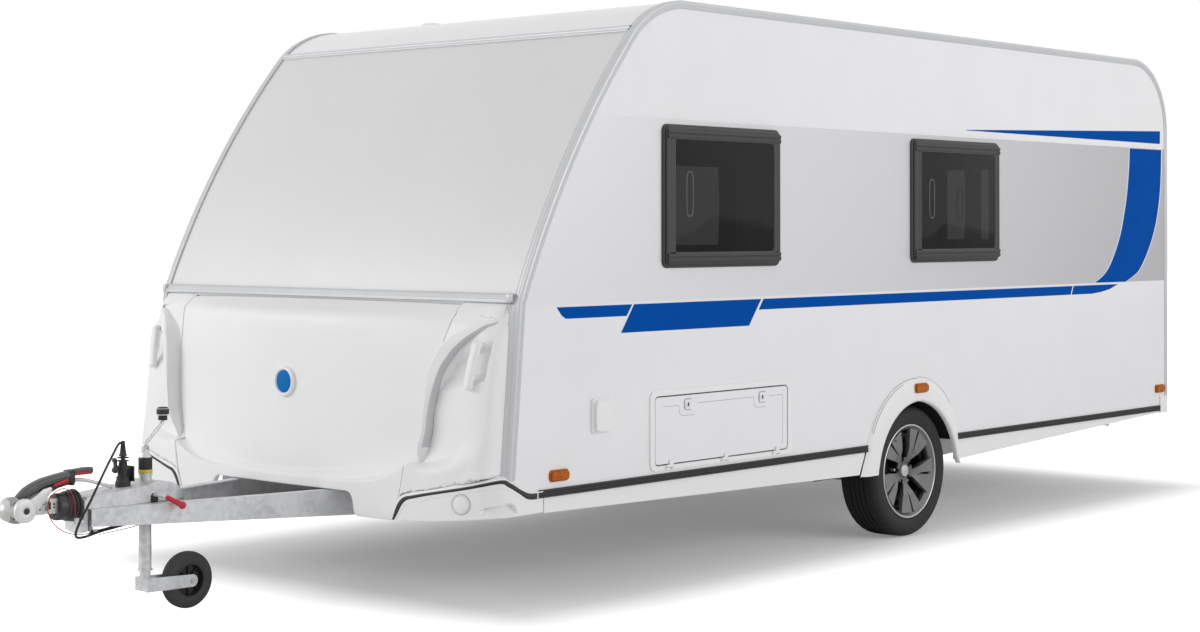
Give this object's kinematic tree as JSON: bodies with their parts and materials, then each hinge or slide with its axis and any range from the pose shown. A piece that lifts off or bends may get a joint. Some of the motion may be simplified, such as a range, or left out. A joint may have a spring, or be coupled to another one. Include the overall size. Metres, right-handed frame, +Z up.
{
  "type": "travel caravan",
  "caption": "Single-axle touring caravan on its jockey wheel, with a sloping front, gas locker lid, service flap, entrance door, coupling and fold-down corner steadies.",
  "frame": {"origin": "middle of the footprint's bounding box, on the ground", "axes": "+Z up, the drawbar points to -Y, +X is the caravan's left side, without the entrance door"},
  "size_m": [2.396, 7.19, 2.578],
  "materials": {
    "panel_white": "white glass-reinforced facing on a sandwich panel",
    "panel_silver": "silver-grey glass-reinforced facing on a sandwich panel",
    "moulding_white": "glossy white moulding",
    "trim_grey": "satin light grey rail",
    "black_plastic": "matt black plastic",
    "floor_board": "sealed plywood",
    "inner_board": "pale laminated board",
    "window_frame": "matt dark grey frame",
    "window_pane": "smoked acrylic",
    "steel_galvanised": "hot-dip galvanised steel",
    "steel_dark": "dark coated steel",
    "alloy": "dark anthracite alloy with bright edges",
    "tyre": "black rubber",
    "rubber": "black rubber",
    "amber_lens": "amber lens",
    "red_lens": "red lens",
    "steel_zinc": "bright zinc-plated steel",
    "red_cable": "red sheathed steel cable"
  },
  "bodies": {
    "caravan": {"side_wall_left": "panel_white", "side_wall_right": "panel_white", "front_wall": "panel_silver", "roof_panel": "panel_white", "rear_wall": "panel_white", "floor_panel": "floor_board", "locker_bulkhead": "inner_board", "wheel_housings": "inner_board", "edge_trims": "trim_grey", "cross_trims": "trim_grey", "wheel_arches": "moulding_white", "skirts": "moulding_white", "rub_strips": "black_plastic", "corner_covers": "moulding_white", "rear_bumper": "moulding_white", "front_moulding": "moulding_white", "grab_handles": "moulding_white", "window_frames": "window_frame", "window_panes": "window_pane", "door_frame": "trim_grey", "flap_frame": "moulding_white", "chassis_member_left": "steel_galvanised", "chassis_member_right": "steel_galvanised", "cross_members": "steel_galvanised", "axle_beam": "steel_galvanised", "brake_rod": "steel_galvanised", "swing_arms": "steel_dark", "overrun_housing": "steel_galvanised", "bellows": "rubber", "coupling_head": "steel_zinc", "coupling_handle": "steel_dark", "handbrake_lever": "steel_zinc", "jockey_tube": "steel_galvanised", "jockey_crank": "steel_zinc", "lead_cable": "rubber", "lead_plug": "black_plastic", "park_socket": "black_plastic", "breakaway_cable": "red_cable", "steady_bases": "steel_galvanised", "side_lamps": "amber_lens", "rear_lamps": "red_lens", "roof_fittings": "panel_white", "wall_fittings": "moulding_white"},
    "wheel_left": {"rim_left": "alloy", "tyre_left": "tyre", "brake_drum_left": "steel_dark"},
    "wheel_right": {"rim_right": "alloy", "tyre_right": "tyre", "brake_drum_right": "steel_dark"},
    "jockey_swivel": {"jockey_fork": "steel_galvanised"},
    "jockey_roller": {"jockey_wheel": "rubber"},
    "locker_lid": {"gas_locker_lid": "moulding_white"},
    "flap": {"service_flap": "panel_white"},
    "door": {"entrance_door": "panel_white", "door_window": "window_pane"},
    "steady_front_left": {"steady_leg_front_left": "steel_galvanised"},
    "steady_front_right": {"steady_leg_front_right": "steel_galvanised"},
    "steady_rear_left": {"steady_leg_rear_left": "steel_galvanised"},
    "steady_rear_right": {"steady_leg_rear_right": "steel_galvanised"}
  },
  "joints": [
    {"name": "wheel_left_spin", "type": "hinge", "parent": "caravan", "child": "wheel_left", "pos_m": [1.02, 0.845, 0.326], "axis": [1, 0, 0], "continuous": true},
    {"name": "wheel_right_spin", "type": "hinge", "parent": "caravan", "child": "wheel_right", "pos_m": [-1.02, 0.845, 0.326], "axis": [1, 0, 0], "continuous": true},
    {"name": "jockey_swivel_turn", "type": "hinge", "parent": "caravan", "child": "jockey_swivel", "pos_m": [0, -2.94, 0.2], "axis": [0, 0, 1], "continuous": true},
    {"name": "jockey_wheel_spin", "type": "hinge", "parent": "jockey_swivel", "child": "jockey_roller", "pos_m": [0, -2.737, 0.115], "axis": [1, 0, 0], "continuous": true},
    {"name": "locker_lid_hinge", "type": "hinge", "parent": "caravan", "child": "locker_lid", "pos_m": [0, -2.031, 1.222], "axis": [-1, 0, 0], "range_deg": [0, 80]},
    {"name": "service_flap_hinge", "type": "hinge", "parent": "caravan", "child": "flap", "pos_m": [1.172, -0.7065, 0.52], "axis": [0, 1, 0], "range_deg": [0, 170]},
    {"name": "entrance_door_hinge", "type": "hinge", "parent": "caravan", "child": "door", "pos_m": [-1.174, -0.535, 1.4], "axis": [0, 0, 1], "range_deg": [0, 150]},
    {"name": "steady_front_left_fold", "type": "hinge", "parent": "caravan", "child": "steady_front_left", "pos_m": [0.76, -1.485, 0.406], "axis": [1, 0, 0], "range_deg": [0, 58]},
    {"name": "steady_front_right_fold", "type": "hinge", "parent": "caravan", "child": "steady_front_right", "pos_m": [-0.76, -1.485, 0.406], "axis": [1, 0, 0], "range_deg": [0, 58]},
    {"name": "steady_rear_left_fold", "type": "hinge", "parent": "caravan", "child": "steady_rear_left", "pos_m": [0.76, 3.035, 0.406], "axis": [-1, 0, 0], "range_deg": [0, 58]},
    {"name": "steady_rear_right_fold", "type": "hinge", "parent": "caravan", "child": "steady_rear_right", "pos_m": [-0.76, 3.035, 0.406], "axis": [-1, 0, 0], "range_deg": [0, 58]}
  ]
}
